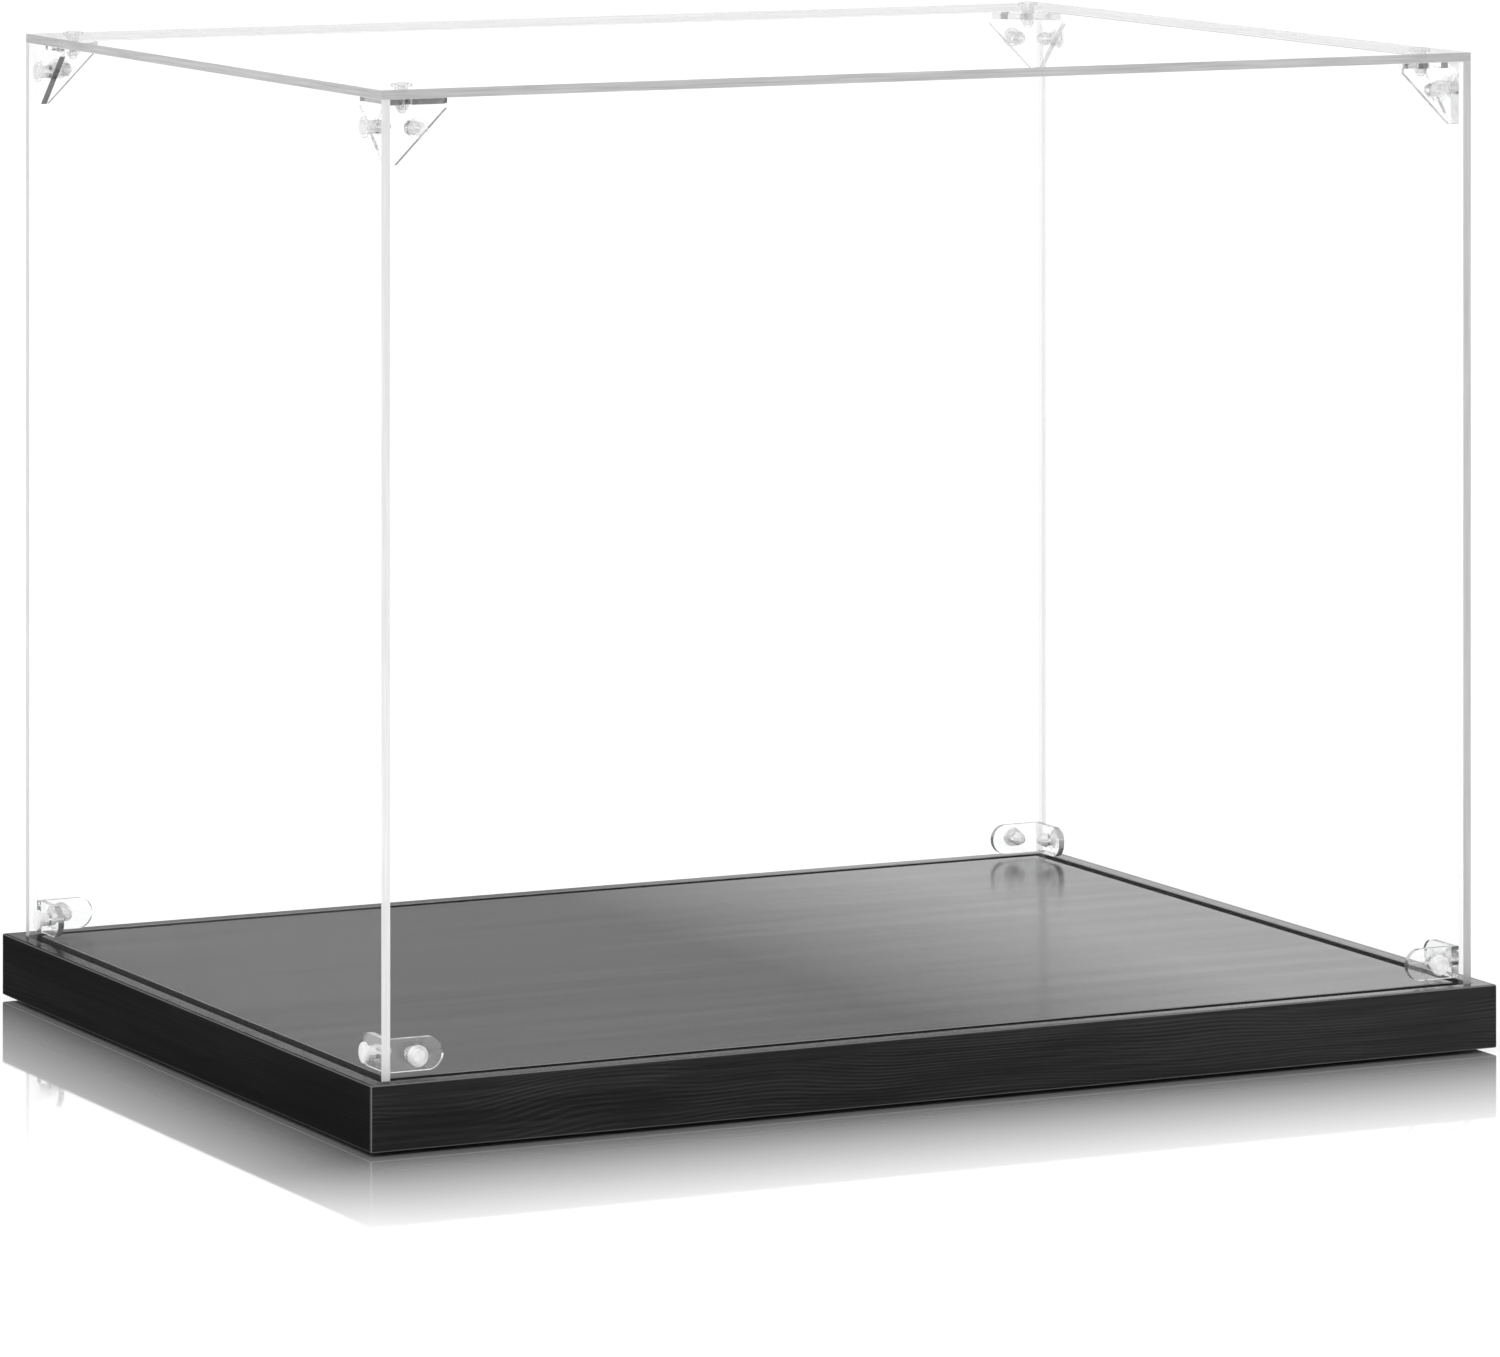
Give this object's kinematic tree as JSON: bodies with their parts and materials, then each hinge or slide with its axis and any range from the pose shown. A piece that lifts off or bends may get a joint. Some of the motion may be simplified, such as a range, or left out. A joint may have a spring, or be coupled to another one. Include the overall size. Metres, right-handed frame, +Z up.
{
  "type": "football display case",
  "caption": "Clear lift-off display cover with corner brackets and push rivets, standing in the groove of a black wood-grain base board.",
  "frame": {"origin": "middle of the base's footprint, on the surface the case stands on", "axes": "+X along the long front side, to the right; +Y towards the back; +Z up. The front faces -Y."},
  "size_m": [0.39, 0.3, 0.318],
  "materials": {
    "wood_core": "sawn softwood, black in the routed groove",
    "woodgrain_top": "black wood-grain film, satin",
    "woodgrain_side": "black wood-grain edge band, fine horizontal grain",
    "liner": "plain matt black",
    "pad": "matt rubber",
    "clear_sheet": "clear, polished faces, lightly frosted sawn edges",
    "clear_fitting": "clear moulded plastic",
    "clear_rivet": "clear moulded plastic, slightly hazy"
  },
  "bodies": {
    "base": {"base_core": "wood_core", "base_top_film": "woodgrain_top", "base_rim_film": "woodgrain_top", "base_bottom_liner": "liner", "edge_band_front": "woodgrain_side", "edge_band_back": "woodgrain_side", "edge_band_left": "woodgrain_side", "edge_band_right": "woodgrain_side", "anti_slip_pads": "pad"},
    "cover": {"panel_top": "clear_sheet", "panel_front": "clear_sheet", "panel_back": "clear_sheet", "panel_left": "clear_sheet", "panel_right": "clear_sheet", "top_bracket_front_left": "clear_fitting", "top_bracket_front_right": "clear_fitting", "top_bracket_back_left": "clear_fitting", "top_bracket_back_right": "clear_fitting", "bottom_clip_front_left": "clear_fitting", "bottom_clip_front_right": "clear_fitting", "bottom_clip_back_left": "clear_fitting", "bottom_clip_back_right": "clear_fitting", "rivet_bodies_top": "clear_rivet", "rivet_bodies_front": "clear_rivet", "rivet_bodies_back": "clear_rivet", "rivet_bodies_left": "clear_rivet", "rivet_bodies_right": "clear_rivet", "rivet_pins_top": "clear_rivet", "rivet_pins_front": "clear_rivet", "rivet_pins_back": "clear_rivet", "rivet_pins_left": "clear_rivet", "rivet_pins_right": "clear_rivet"}
  },
  "joints": [
    {"name": "cover_lift", "type": "slide", "parent": "base", "child": "cover", "axis": [0, 0, 1], "range_m": [0, 0.3]}
  ]
}
